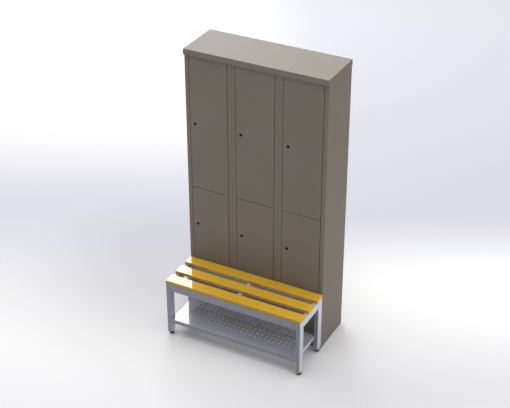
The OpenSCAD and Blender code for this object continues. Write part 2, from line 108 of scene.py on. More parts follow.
class Nodes:
    """A node tree with short ways to add to it."""

    def __init__(self, tree: bpy.types.NodeTree) -> None:
        """Takes the tree."""
        self.tree = tree

    def node(self, kind: str, inputs: Optional[Inputs] = None, **settings: Any) -> bpy.types.Node:
        """Adds one node.

        Args:
            kind: The node's type name.
            inputs: A value, or the socket that feeds it, by input name or index.
            settings: Attributes of the node.

        Returns:
            The new node.
        """
        node = self.tree.nodes.new(kind)
        for name, value in settings.items():
            setattr(node, name, value)
        for key, source in (inputs or {}).items():
            if isinstance(source, Socket):
                self.tree.links.new(source, node.inputs[key])
            else:
                node.inputs[key].default_value = source
        return node

    def math(self, operation: str, *sources: Socket | float) -> Socket:
        """Combines sockets and numbers by an operation."""
        return self.node("ShaderNodeMath", dict(enumerate(sources)), operation=operation).outputs["Value"]

    def vector(self, **axes: Socket) -> Socket:
        """Gives a vector of sockets named X, Y and Z."""
        return self.node("ShaderNodeCombineXYZ", axes).outputs["Vector"]


# ---------------------------------------------------------------- finishes


class Shade(Nodes):
    """A material's tree with what the finishes share."""

    def place(self, kind: str = "Object") -> Socket:
        """Gives the object's own coordinates or normal."""
        return self.node("ShaderNodeTexCoord").outputs[kind]

    def facing(self, axis: str) -> Socket:
        """Gives how far a face looks along one axis."""
        return self.node("ShaderNodeSeparateXYZ", {"Vector": self.place("Normal")}).outputs[axis]

    def noise(self, size: float, stretch: Place = (1.0, 1.0, 1.0), detail: float = 2.0,
              roughness: float = 0.5, vector: Optional[Socket] = None) -> Socket:
        """Adds a noise with features of a real size.

        Args:
            size: Size of one feature in metres.
            stretch: Scale of the coordinates along each axis.
            detail: Octaves of the noise.
            roughness: Strength of the finer octaves.
            vector: Coordinates, where they aren't the object's own.

        Returns:
            The noise factor.
        """
        scaled = self.node("ShaderNodeMapping", {"Scale": tuple(s / size for s in stretch),
                                                 "Vector": vector or self.place()})
        noise = self.node("ShaderNodeTexNoise", {"Scale": 1.0, "Detail": detail, "Roughness": roughness,
                                                 "Vector": scaled.outputs["Vector"]})
        return noise.outputs["Fac"]

    def spread(self, source: Socket, low: float, high: float, start: float = 0.3,
               end: float = 0.7, easing: str = "LINEAR") -> Socket:
        """Maps a factor onto a range of values.

        Args:
            source: The factor.
            low: Value at the start of the factor's range.
            high: Value at its end.
            start: Factor that gives the low value.
            end: Factor that gives the high value.
            easing: Way between both.

        Returns:
            The mapped value.
        """
        node = self.node("ShaderNodeMapRange", {"Value": source, "From Min": start, "From Max": end,
                                                "To Min": low, "To Max": high}, interpolation_type=easing)
        return node.outputs["Result"]

    def blend(self, factor: Socket, first: str | Socket, second: str | Socket) -> Socket:
        """Mixes two colours, hex or socket, by the share of the second."""
        both = [linear(c) if isinstance(c, str) else c for c in (first, second)]
        mix = self.node("ShaderNodeMix", {"Factor": factor, "A": both[0], "B": both[1]}, data_type="RGBA")
        return mix.outputs["Result"]

    def valued(self, colour: Socket, value: Socket) -> Socket:
        """Makes a colour lighter or darker by a value."""
        return self.node("ShaderNodeHueSaturation", {"Color": colour, "Value": value}).outputs["Color"]

    def ramp(self, source: Socket, stops: Sequence[tuple[float, str]]) -> Socket:
        """Adds an eased colour ramp.

        Args:
            source: Place on the ramp from 0 to 1.
            stops: Position and hex colour of each stop, in order.

        Returns:
            The colour.
        """
        node = self.node("ShaderNodeValToRGB", {"Fac": source})
        ramp = node.color_ramp
        ramp.interpolation = "EASE"
        while len(ramp.elements) < len(stops):
            ramp.elements.new(1.0)
        for element, (position, colour) in zip(ramp.elements, stops):
            element.position = position
            element.color = linear(colour)
        return node.outputs["Color"]

    def bump(self, height: Socket, distance: float, strength: float) -> Socket:
        """Gives the normal of a bump with a depth in metres, and the share of it that shows."""
        node = self.node("ShaderNodeBump", {"Height": height, "Distance": distance, "Strength": strength})
        return node.outputs["Normal"]

    def surface(self, inputs: Inputs) -> None:
        """Adds the Principled shader with its inputs, and the material's output."""
        shader = self.node("ShaderNodeBsdfPrincipled", inputs)
        self.node("ShaderNodeOutputMaterial", {"Surface": shader.outputs["BSDF"]})


class Finish:
    """A finish that builds its own node material once."""

    name: str
    _made: ClassVar[dict[str, bpy.types.Material]] = {}

    def material(self) -> bpy.types.Material:
        """Gives the finish's material and builds it on first use."""
        if self.name not in Finish._made:
            made = bpy.data.materials.new(self.name)
            made.use_nodes = True
            made.node_tree.nodes.clear()
            self.build(Shade(made.node_tree))
            Finish._made[self.name] = made
        return Finish._made[self.name]

    def build(self, shade: Shade) -> None:
        """Builds the nodes of the finish in an empty tree."""
        raise NotImplementedError


@dataclass(frozen=True)
class PowderCoat(Finish):
    """Polyester powder coat baked on sheet steel.

    The eye sees an even colour with a faint cloudiness where the film is thicker, and a
    fine orange-peel skin that softens what the surface mirrors. A painted sheen can make the
    coat paler where it is seen at a glancing angle, and painted light can make what faces up
    paler, standing in for the light and sheen that fall on it.
    """

    name: str
    colour: str
    cloud_colour: str
    roughness: float
    roughness_spread: float
    specular: float
    coat: float
    coat_roughness: float
    peel: float
    painted_glancing_sheen_colour: Optional[str] = None
    painted_glancing_sheen_range: tuple[float, float] = (0.32, 0.61)
    painted_top_light_colour: Optional[str] = None
    painted_top_light_share: float = 0.33
    painted_top_light_range: tuple[float, float] = (0.7, 0.95)
    cloud: float = 260 * MM
    peel_size: float = 1.6 * MM
    mottle_size: float = 19.2 * MM

    def build(self, shade: Shade) -> None:
        """Builds film, cloudiness and orange peel."""
        colour = shade.blend(shade.spread(shade.noise(self.cloud, detail=3.0), 0.0, 1.0),
                             self.colour, self.cloud_colour)
        # Painted sheen: faces seen at a glancing angle are paled towards a lighter colour, standing in for
        # what the gloss coat mirrors there.
        if self.painted_glancing_sheen_colour:
            glancing = shade.node("ShaderNodeLayerWeight", {"Blend": 0.5}).outputs["Facing"]
            share = shade.spread(glancing, 0.0, 1.0, *self.painted_glancing_sheen_range)
            colour = shade.blend(share, colour, self.painted_glancing_sheen_colour)
        # Painted light: faces that look up are paled towards a lighter grey, standing in for the overhead
        # light and sheen on them.
        if self.painted_top_light_colour:
            share = shade.spread(shade.facing("Z"), 0.0, self.painted_top_light_share, *self.painted_top_light_range)
            colour = shade.blend(share, colour, self.painted_top_light_colour)
        shade.surface({
            "Base Color": colour, "Specular IOR Level": self.specular, "Coat Weight": self.coat,
            "Coat Roughness": self.coat_roughness,
            "Roughness": shade.spread(shade.noise(self.mottle_size), self.roughness - self.roughness_spread,
                                      self.roughness + self.roughness_spread),
            "Normal": shade.bump(shade.noise(self.peel_size, detail=1.0), self.peel, 0.5)})


@dataclass(frozen=True)
class LacqueredPine(Finish):
    """Planed softwood under a honey-toned gloss lacquer.

    The eye sees long pale and darker growth bands along the slat, fine fibres between them,
    front and rear faces painted darker as shade, and a smooth clear film over it that
    mirrors what stands behind the seat.
    """

    name: str
    early: str
    late: str
    fibre: str
    roughness: float
    coat: float
    coat_roughness: float
    painted_side_shade_value: float = 0.74
    band: float = 7 * MM
    fibre_size: float = 0.9 * MM
    sway_size: float = 220 * MM
    sway: float = 30 * MM
    tone_size: float = 160 * MM

    def build(self, shade: Shade) -> None:
        """Builds growth bands, fibres and lacquer."""
        drift = shade.noise(self.sway_size, (1.0, 3.0, 3.0))
        sway = shade.math("MULTIPLY_ADD", drift, self.sway, -self.sway / 2)
        bent = shade.node("ShaderNodeVectorMath", {0: shade.place(), 1: shade.vector(Y=sway, Z=sway)},
                          operation="ADD")
        growth = shade.noise(self.band, (0.02, 1.0, 1.0), 3.0, 0.6, bent.outputs["Vector"])
        fibres = shade.noise(self.fibre_size, (0.02, 1.0, 1.0))
        tone = shade.noise(self.tone_size, (0.3, 1.0, 1.0), detail=1.0)
        wood = shade.blend(shade.spread(growth, 0.0, 1.0, 0.35, 0.7), self.early, self.late)
        wood = shade.blend(shade.spread(fibres, 0.0, 0.35, 0.45, 0.8), wood, self.fibre)
        # Painted shade: faces that look to the front or rear are darkened.
        sideways = shade.math("ABSOLUTE", shade.facing("Y"))
        value = shade.math("MULTIPLY", shade.spread(tone, 0.96, 1.04),
                           shade.spread(sideways, 1.0, self.painted_side_shade_value, 0.3, 0.9))
        shade.surface({
            "Base Color": shade.valued(wood, value), "Specular IOR Level": 0.1, "Coat Weight": self.coat,
            "Coat Roughness": self.coat_roughness,
            "Roughness": shade.spread(fibres, self.roughness - 0.05, self.roughness + 0.08),
            "Normal": shade.bump(fibres, 0.01 * MM, 0.2)})


@dataclass(frozen=True)
class ClosePair(Finish):
    """Finish of small parts: two close tones in soft clouds, over a fine skin."""

    name: str
    colour: str
    cloud_colour: str
    cloud: float
    cloud_detail: float
    roughness: tuple[float, float]
    skin: float
    skin_detail: float
    skin_depth: float
    skin_share: float
    skin_stretch: Place = (1.0, 1.0, 1.0)
    tone_range: tuple[float, float] = (0.3, 0.7)
    metallic: float = 0.0
    specular: float = 0.5

    def build(self, shade: Shade) -> None:
        """Builds clouds and skin."""
        cloud = shade.noise(self.cloud, detail=self.cloud_detail)
        skin = shade.noise(self.skin, self.skin_stretch, self.skin_detail)
        shade.surface({
            "Base Color": shade.blend(shade.spread(cloud, 0.0, 1.0, *self.tone_range),
                                      self.colour, self.cloud_colour),
            "Metallic": self.metallic, "Specular IOR Level": self.specular,
            "Roughness": shade.spread(cloud, *self.roughness),
            "Normal": shade.bump(skin, self.skin_depth, self.skin_share)})


# The body coat's paler colour on upward faces is painted light.
BODY_COAT = PowderCoat("warm_grey_powder_coat", "#827a6f", "#80786d", roughness=0.55,
                       roughness_spread=0.04, specular=0.15, coat=0.0, coat_roughness=0.1,
                       peel=0.05 * MM, painted_top_light_colour="#989794")
# The bench coat's paler colour at glancing angles is a painted sheen.
BENCH_COAT = PowderCoat("light_grey_gloss_powder_coat", "#828592", "#808390", roughness=0.3,
                        roughness_spread=0.03, specular=0.2, coat=1.0, coat_roughness=0.01,
                        peel=0.003 * MM, painted_glancing_sheen_colour="#cfd3e4")
SEAT_WOOD = LacqueredPine("honey_lacquered_pine", "#d0a42c", "#c99b25", "#bb8e1e", roughness=0.4,
                          coat=1.0, coat_roughness=0.005)
# Bright zinc plate on rolled and pressed steel: a pale cool metal with a soft blur, slightly
# cloudy from the bath, with fine drawing marks along it.
ZINC = ClosePair("bright_zinc_plate", "#c9ccd0", "#b4b8be", cloud=9 * MM, cloud_detail=3.0,
                 roughness=(0.24, 0.38), skin=0.5 * MM, skin_detail=1.0, skin_depth=0.01 * MM,
                 skin_share=0.4, skin_stretch=(0.08, 1.0, 1.0), metallic=1.0)
# Die-cast zinc with a black electrophoretic coat: a deep black with a soft sheen and a trace
# of the casting's skin.
LOCK_BLACK = ClosePair("black_coated_die_cast_zinc", "#08080a", "#0f0f10", cloud=6 * MM, cloud_detail=2.0,
                       roughness=(0.4, 0.5), skin=0.8 * MM, skin_detail=2.0, skin_depth=0.02 * MM,
                       skin_share=0.4, specular=0.15)
# Black polyamide from a spark-eroded mould: a dull charcoal black with a fine even grain.
PLASTIC = ClosePair("black_moulded_polyamide", "#1d1f21", "#2a2c2e", cloud=5 * MM, cloud_detail=3.0,
                    roughness=(0.45, 0.6), skin=0.6 * MM, skin_detail=1.0, skin_depth=0.04 * MM,
                    skin_share=0.5, tone_range=(0.4, 0.8), specular=0.4)

FINISH_OF_SLOT: dict[Slot, Finish] = {
    Slot.BODY: BODY_COAT,
    Slot.BENCH: BENCH_COAT,
    Slot.WOOD: SEAT_WOOD,
    Slot.ZINC: ZINC,
    Slot.LOCK: LOCK_BLACK,
    Slot.PLASTIC: PLASTIC,
}

# The tabs are welded to the stiles before the body is coated, so they take its colour.
FINISH_OF_NODE: dict[str, Finish] = {"hinge_tabs": BODY_COAT}


def dress_cad_nodes() -> None:
    """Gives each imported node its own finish, or else the one of its slot in the record."""
    for entry in frame["record"]["subparts"]:
        node = frame["nodes"][entry["node"]]
        finish = FINISH_OF_NODE.get(entry["node"], FINISH_OF_SLOT[Slot(entry["material_slot"])]).material()
        if node.material_slots:
            for place in node.material_slots:
                place.material = finish
        else:
            node.data.materials.append(finish)
    LOG.info("%d packed nodes dressed", len(frame["nodes"]))


# ---------------------------------------------------------------- meshes


def add_object(name: str, data: Any) -> Object:
    """Adds an object to the scene and gives it."""
    item = bpy.data.objects.new(name, data)
    bpy.context.scene.collection.objects.link(item)
    return item


def plain_mesh(item: Object) -> Mesh:
    """Gives the mesh that an object's modifiers make of it."""
    return bpy.data.meshes.new_from_object(item.evaluated_get(bpy.context.evaluated_depsgraph_get()))


def settle(name: str, mesh: Mesh, finish: Finish, body: str, nodes: Sequence[str] = ()) -> None:
    """Makes a finished piece of a mesh and ties it to its body.

    Args:
        name: The piece's name.
        mesh: The mesh, in its place.
        finish: What it is finished in.
        body: The body it rides on.
        nodes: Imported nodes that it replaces.
    """
    mesh.name = name
    mesh.materials.clear()
    mesh.materials.append(finish.material())
    piece = add_object(name, mesh)
    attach(piece, body)
    if nodes:
        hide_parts(*nodes)
    LOG.info("%s: %d faces on %s", name, len(mesh.polygons), body)


def raw_mesh(work: Work, name: str) -> Mesh:
    """Writes a working mesh out as it is and frees it."""
    mesh = bpy.data.meshes.new(name)
    work.to_mesh(mesh)
    work.free()
    return mesh


def mesh_of(work: Work, sharp_degrees: float = 30.0) -> Mesh:
    """Closes a working mesh: outward faces, smooth shading and sharp edges by angle.

    Args:
        work: The working mesh, which is freed.
        sharp_degrees: Angle from which an edge is sharp.

    Returns:
        The finished mesh.
    """
    bmesh.ops.remove_doubles(work, verts=work.verts, dist=MERGE)
    bmesh.ops.recalc_face_normals(work, faces=work.faces)
    mesh = raw_mesh(work, "work")
    mesh.shade_smooth()
    mesh.set_sharp_from_angle(angle=math.radians(sharp_degrees))
    return mesh


def work_of(mesh: Mesh) -> Work:
    """Gives a working copy of a mesh."""
    work = bmesh.new()
    work.from_mesh(mesh)
    return work


def skin_rings(work: Work, rings: list[Ring], closed: bool = False) -> None:
    """Fills the bands between rings, of which one on the axis is a single point.

    Args:
        work: The mesh to add to.
        rings: The rings, in order.
        closed: Whether the last ring also meets the first.
    """
    steps = max(len(ring) for ring in rings)
    for low, high in zip(rings, rings[1:] + (rings[:1] if closed else [])):
        for k in range(steps):
            n = (k + 1) % steps
            corners = [low[k % len(low)], low[n % len(low)], high[n % len(high)], high[k % len(high)]]
            unique = list(dict.fromkeys(corners))
            if len(unique) > 2:
                work.faces.new(unique)


def add_turned(work: Work, profile: Profile, place: Matrix, steps: int = 48,
               radius_at: Optional[RadiusAt] = None, closed: bool = False) -> list[Ring]:
    """Adds a turned shape round the local Z axis.

    Args:
        work: The mesh to add to.
        profile: Radius and height of each point, from one end to the other.
        place: From local to row frame.
        steps: Sides of the shape.
        radius_at: Radius of a profile point at an angle, for shapes that aren't round.
        closed: Whether the profile runs round a bore and back to its start.

    Returns:
        The ring of points of each profile point.
    """
    rings = []
    for index, (radius, height) in enumerate(profile):
        ring = []
        for k in range(steps if radius else 1):
            angle = 2 * math.pi * k / steps
            reach = radius_at(index, angle) if radius_at else radius
            point = Vector((reach * math.cos(angle), reach * math.sin(angle), height))
            ring.append(work.verts.new(place @ point))
        rings.append(ring)
    skin_rings(work, rings, closed)
    return rings


def add_block(work: Work, centre: Place, size: Place, place: Matrix = Matrix.Identity(4)) -> None:
    """Adds a cuboid with its centre and size in a local frame, put in its place."""
    bmesh.ops.create_cube(work, size=1.0,
                          matrix=place @ Matrix.Translation(centre) @ Matrix.Diagonal((*size, 1)))


def hexagon(across: float, chosen: Sequence[int], profile: Profile) -> RadiusAt:
    """Gives the radius of a profile of which some points follow a hexagon.

    Args:
        across: Width across the flats.
        chosen: Profile points that follow it.
        profile: The profile.

    Returns:
        The radius for a point's index and angle.
    """
    def radius_at(index: int, angle: float) -> float:
        """Radius of one point at an angle."""
        radius = profile[index][0]
        if index not in chosen:
            return radius
        off = (angle % (math.pi / 3)) - math.pi / 6
        return min(radius, across / 2 / math.cos(off))

    return radius_at


def thread(radius: float, depth: float, pitch: float, start: float, end: float,
           ridge: Profile = ((0.0, 0.0), (1.0, 0.5))) -> Profile:
    """Gives the profile of a thread.

    Args:
        radius: Its outer radius.
        depth: Depth of its groove.
        pitch: Distance from ridge to ridge.
        start: Height of the first ridge.
        end: Height that the last ridge stays below.
        ridge: Depth and height of a ridge's points, as shares of depth and pitch.

    Returns:
        Radius and height of each point.
    """
    points = []
    while start + pitch < end:
        points += [(radius - deep * depth, start + high * pitch) for deep, high in ridge]
        start += pitch
    return points


def weigh_normals(mesh: Mesh) -> Mesh:
    """Lets large flat faces keep their normals where they meet eased edges."""
    carrier = add_object("weigh", mesh)
    weigh = carrier.modifiers.new("weigh", "WEIGHTED_NORMAL")
    weigh.weight = 100
    weigh.keep_sharp = True
    weighed = plain_mesh(carrier)
    bpy.data.objects.remove(carrier)
    return weighed


def carve(body: Mesh, cutter: Mesh) -> Mesh:
    """Cuts one closed mesh out of another and gives what is left."""
    block, tool = add_object("carve_body", body), add_object("carve_tool", cutter)
    cut = block.modifiers.new("cut", "BOOLEAN")
    cut.operation = "DIFFERENCE"
    cut.solver = "EXACT"
    cut.object = tool
    left = plain_mesh(block)
    for item in (block, tool):
        bpy.data.objects.remove(item)
    return left


# ---------------------------------------------------------------- geometry trees


class GeometryTree(Nodes):
    """A geometry tree with named inputs, run once and turned into a plain mesh."""

    def __init__(self, name: str, sizes: dict[str, float | int]) -> None:
        """Starts the tree and its inputs.

        Args:
            name: The tree's name.
            sizes: Name and value of each input: a float is a length, an int a count.
        """
        super().__init__(bpy.data.node_groups.new(name, "GeometryNodeTree"))
        self.sizes = sizes
        self.sockets: dict[str, str] = {}
        for way in ("OUTPUT", "INPUT"):
            self.tree.interface.new_socket("Geometry", in_out=way, socket_type="NodeSocketGeometry")
        for label, value in sizes.items():
            kind = "NodeSocketInt" if isinstance(value, int) else "NodeSocketFloat"
            socket = self.tree.interface.new_socket(label, in_out="INPUT", socket_type=kind)
            self.sockets[label] = socket.identifier
        self.size = self.node("NodeGroupInput").outputs

    def mesh(self, geometry: Socket, finish: Finish, base: Optional[Mesh] = None) -> Mesh:
        """Ends the tree in Realize Instances and Set Material, and runs it.

        Args:
            geometry: What the tree makes.
            finish: What it is finished in.
            base: Mesh that the tree starts from.

        Returns:
            The plain mesh.
        """
        real = self.node("GeometryNodeRealizeInstances", {"Geometry": geometry})
        painted = self.node("GeometryNodeSetMaterial", {"Geometry": real.outputs["Geometry"],
                                                        "Material": finish.material()})
        self.node("NodeGroupOutput", {"Geometry": painted.outputs["Geometry"]})
        carrier = add_object("carrier", base or bpy.data.meshes.new("carrier"))
        modifier = carrier.modifiers.new("tree", "NODES")
        modifier.node_group = self.tree
        for label, value in self.sizes.items():
            modifier[self.sockets[label]] = value
        carrier.data.update()
        made = plain_mesh(carrier)
        carrier.modifiers.remove(modifier)
        bpy.data.objects.remove(carrier)
        return made


@dataclass(frozen=True)
class Row:
    """Copies along one axis."""

    count: int
    pitch: float
    axis: str = "X"


def repeat(name: str, unit: Mesh, start: Place, finish: Finish, first: Row,
           second: Row = Row(1, 0.0)) -> Mesh:
    """Repeats a mesh over a grid.

    Args:
        name: The tree's name.
        unit: What is repeated, at the origin.
        start: Place of the first copy.
        finish: What the copies are finished in.
        first: The grid's first row.
        second: The row that stands on each of its points.

    Returns:
        All copies as one mesh.
    """
    tree = GeometryTree(name, {
        "First Count": first.count, "First Pitch": first.pitch, "Second Count": second.count,
        "Second Pitch": second.pitch, "Start X": start[0], "Start Y": start[1], "Start Z": start[2],
    })
    size = tree.size
    line = tree.node("GeometryNodeMeshLine", {
        "Count": size["First Count"], "Offset": tree.vector(**{first.axis: size["First Pitch"]}),
        "Start Location": tree.vector(X=size["Start X"], Y=size["Start Y"], Z=size["Start Z"])})
    cross = tree.node("GeometryNodeMeshLine", {
        "Count": size["Second Count"], "Offset": tree.vector(**{second.axis: size["Second Pitch"]})})
    grid = tree.node("GeometryNodeInstanceOnPoints",
                     {"Points": line.outputs["Mesh"], "Instance": cross.outputs["Mesh"]})
    points = tree.node("GeometryNodeRealizeInstances", {"Geometry": grid.outputs["Instances"]})
    copies = tree.node("GeometryNodeInstanceOnPoints",
                       {"Points": points.outputs["Geometry"], "Instance": size["Geometry"]})
    return tree.mesh(copies.outputs["Instances"], finish, unit)


# ---------------------------------------------------------------- sub-assemblies


@dataclass
class SeatSlats:
    """Three slats of the seat, with eased long edges."""

    edge: float = 2.5 * MM
    edge_steps: int = 6
    nodes: tuple[str, ...] = ("slat_front", "slat_middle", "slat_rear")

    def build(self) -> None:
        """Sweeps one rounded section along X and repeats it along Y."""
        low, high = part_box(self.nodes[0])
        last_low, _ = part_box(self.nodes[-1])
        tree = GeometryTree("seat_slat", {
            "Length": high.x - low.x, "Width": high.y - low.y, "Thickness": high.z - low.z,
            "Edge": self.edge, "Edge Steps": self.edge_steps})
        size = tree.size
        outline = tree.node("GeometryNodeCurvePrimitiveQuadrilateral",
                            {"Width": size["Width"], "Height": size["Thickness"]})
        eased = tree.node("GeometryNodeFilletCurve", mode="POLY", inputs={
            "Curve": outline.outputs["Curve"], "Count": size["Edge Steps"], "Radius": size["Edge"]})
        line = tree.node("GeometryNodeCurvePrimitiveLine", {"End": tree.vector(X=size["Length"])})
        slat = tree.node("GeometryNodeCurveToMesh", {
            "Curve": line.outputs["Curve"], "Profile Curve": eased.outputs["Curve"], "Fill Caps": True})
        count = len(self.nodes)
        mesh = repeat("seat_slats", tree.mesh(slat.outputs["Mesh"], SEAT_WOOD),
                      (low.x, (low.y + high.y) / 2, (low.z + high.z) / 2), SEAT_WOOD,
                      Row(count, (last_low.y - low.y) / (count - 1), "Y"))
        settle("seat_slats", weigh_normals(mesh_of(work_of(mesh), 40)), SEAT_WOOD, ROOT, self.nodes)


@dataclass
class ShoeShelf:
    """Perforated shelf: a folded tray with eased punch holes and a return along its front."""

    node: str = "shoe_shelf"
    sheet: float = 1.5 * MM
    bend: float = 0.5 * MM
    hole: float = 7.5 * MM
    ease: float = 0.35 * MM
    pitch: float = 32 * MM
    columns: int = 22
    rows: int = 6
    rear_margin: float = 14 * MM
    cell: float = 18 * MM
    lip: float = 12 * MM
    sides: int = 40
    bend_steps: int = 6

    def build(self) -> None:
        """Builds the plate, its holes, its flanges and its return."""
        low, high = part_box(self.node)
        outer = self.bend + self.sheet
        middle = (low.x + high.x) / 2
        first_x = middle - (self.columns - 1) * self.pitch / 2
        first_y = high.y - self.rear_margin - (self.rows - 1) * self.pitch
        xs = self.lines(low.x + outer, high.x - outer, first_x, self.columns)
        ys = self.lines(low.y + outer, high.y - outer, first_y, self.rows)
        work = work_of(repeat("shelf_perforations", self.punched_cell(high.z), (first_x, first_y, 0.0),
                              BENCH_COAT, Row(self.columns, self.pitch), Row(self.rows, self.pitch, "Y")))
        for z in (high.z, high.z - self.sheet):
            self.plain_cells(work, xs, ys, z)
        self.flanges(work, xs, ys, low.z, high.z)
        depth = self.lip - self.sheet
        add_block(work, (middle, low.y + self.sheet + depth / 2, low.z + self.sheet / 2),
                  (high.x - low.x - 2 * self.sheet, depth, self.sheet))
        settle("shoe_shelf_folded", weigh_normals(mesh_of(work, 40)), BENCH_COAT, ROOT, (self.node,))

    def lines(self, start: float, end: float, first: float, count: int) -> list[float]:
        """Gives the grid lines of one axis.

        Args:
            start: Lower end of the plate.
            end: Upper end of the plate.
            first: Centre of the first hole.
            count: Holes along the axis.

        Returns:
            Both ends of the plate and both sides of each punched cell, in order.
        """
        centres = [first + k * self.pitch for k in range(count)]
        return [start, *(c + side * self.cell / 2 for c in centres for side in (-1, 1)), end]

    def punched_cell(self, top: float) -> Mesh:
        """Builds one square of the plate with its punch hole, round the origin.

        Args:
            top: Height of the plate's top.

        Returns:
            Both faces of the square and the hole's wall between them.
        """
        work = bmesh.new()
        under = top - self.sheet
        wall = [(self.hole + self.ease, top), (self.hole + self.ease * 0.3, top - self.ease * 0.3),
                (self.hole, top - self.ease), (self.hole, under)]
        rings = add_turned(work, wall, Matrix.Identity(4), self.sides)
        quarter = self.sides // 4
        for ring, z in ((rings[0], top), (rings[-1], under)):
            corners = [work.verts.new((x * self.cell / 2, y * self.cell / 2, z))
                       for x, y in ((1, 1), (-1, 1), (-1, -1), (1, -1))]
            for q in range(4):
                for k in range(q * quarter, (q + 1) * quarter):
                    work.faces.new([corners[q], ring[k], ring[(k + 1) % self.sides]])
                work.faces.new([corners[q], ring[(q + 1) * quarter % self.sides], corners[(q + 1) % 4]])
        return raw_mesh(work, "cell")

    @staticmethod
    def plain_cells(work: Work, xs: Sequence[float], ys: Sequence[float], z: float) -> None:
        """Fills the grid's cells that have no hole.

        Args:
            work: The mesh to add to.
            xs: Grid lines across.
            ys: Grid lines in depth.
            z: Height of the face.
        """
        for i, (x0, x1) in enumerate(zip(xs, xs[1:])):
            for j, (y0, y1) in enumerate(zip(ys, ys[1:])):
                if i % 2 and j % 2:
                    continue
                square = ((x0, y0), (x1, y0), (x1, y1), (x0, y1))
                work.faces.new([work.verts.new((x, y, z)) for x, y in square])

    def flanges(self, work: Work, xs: list[float], ys: list[float], bottom: float, top: float) -> None:
        """Folds the plate's four flanges down, from its top edge round to its lower face.

        Args:
            work: The mesh to add to.
            xs: Grid lines across.
            ys: Grid lines in depth.
            bottom: Height of the flanges' lower edge.
            top: Height of the plate's top.
        """
        rim = ([(x, ys[0]) for x in xs] + [(xs[-1], y) for y in ys[1:]]
               + [(x, ys[-1]) for x in reversed(xs[:-1])] + [(xs[0], y) for y in reversed(ys[1:-1])])
        outwards = [((x == xs[-1]) - (x == xs[0]), (y == ys[-1]) - (y == ys[0])) for x, y in rim]
        outer = self.bend + self.sheet
        centre = top - outer
        turns = [math.pi / 2 * k / self.bend_steps for k in range(self.bend_steps + 1)]
        steps = [(outer * math.sin(a), centre + outer * math.cos(a)) for a in turns]
        steps += [(outer, bottom), (self.bend, bottom)]
        steps += [(self.bend * math.sin(a), centre + self.bend * math.cos(a)) for a in reversed(turns)]
        skin_rings(work, [[work.verts.new((x + push * to_x, y + push * to_y, z))
                           for (x, y), (to_x, to_y) in zip(rim, outwards)] for push, z in steps])


@dataclass
class WeldBeads:
    """Rippled fillet welds in the corners where the bench's tubes meet."""

    radius: float = 1.9 * MM
    ripple: float = 0.3 * MM
    pitch: float = 2.4 * MM
    pitch_steps: int = 6
    sides: int = 16
    inset: float = 2.5 * MM
    sink: float = 1.2 * MM
    leg: float = 50 * MM

    def paths(self) -> list[Place]:
        """Lists the two ends of each bead, one bead after the other.

        Returns:
            Points in the row frame.
        """
        rails = [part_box(name) for name in ("front_rail", "rear_rail")]
        (front_low, front_high), (rear_low, _) = rails
        cross_low, cross_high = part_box("cross_tube")
        end_low, end_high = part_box("end_frame_right")
        under, low, high = front_low.z, front_low.z + self.inset, front_high.z - self.inset
        beads = []
        for side in (-1, 1):
            x, crossing = side * front_high.x, side * cross_high.x
            inner, outer, sunk = x + side * self.inset, side * (end_high.x - self.inset), x + side * self.sink
            beads += [((x, y, low), (x, y, high)) for y in (front_high.y, rear_low.y)]
            beads += [((x, a.y + self.inset, under), (x, b.y - self.inset, under)) for a, b in rails]
            for y in (end_low.y + self.leg, end_high.y - self.leg):
                beads += [((inner, y, under), (outer, y, under)), ((sunk, y, low), (sunk, y, high))]
            beads += [((crossing, y, low), (crossing, y, high)) for y in (cross_low.y, cross_high.y)]
        return [end for bead in beads for end in bead]

    def build(self) -> None:
        """Runs a rippled round bar along every path."""
        lines = bpy.data.meshes.new("weld_lines")
        points = self.paths()
        lines.from_pydata(points, [(k, k + 1) for k in range(0, len(points), 2)], [])
        tree = GeometryTree("weld_beads", {"Radius": self.radius, "Ripple": self.ripple, "Pitch": self.pitch,
                                           "Step": self.pitch / self.pitch_steps, "Sides": self.sides})
        size = tree.size
        curve = tree.node("GeometryNodeMeshToCurve", {"Mesh": size["Geometry"]})
        fine = tree.node("GeometryNodeResampleCurve", mode="LENGTH",
                         inputs={"Curve": curve.outputs["Curve"], "Length": size["Step"]})
        along = tree.node("GeometryNodeSplineParameter").outputs["Length"]
        turns = tree.math("DIVIDE", along, size["Pitch"])
        wave = tree.math("SINE", tree.math("MULTIPLY", turns, 2 * math.pi))
        radius = tree.math("ADD", size["Radius"], tree.math("MULTIPLY", wave, size["Ripple"]))
        profile = tree.node("GeometryNodeCurvePrimitiveCircle", {"Radius": 1.0, "Resolution": size["Sides"]})
        bars = tree.node("GeometryNodeCurveToMesh", {
            "Curve": fine.outputs["Curve"], "Profile Curve": profile.outputs["Curve"], "Scale": radius,
            "Fill Caps": True})
        mesh = tree.mesh(bars.outputs["Mesh"], BENCH_COAT, lines)
        settle("weld_beads", mesh_of(work_of(mesh), 60), BENCH_COAT, ROOT)


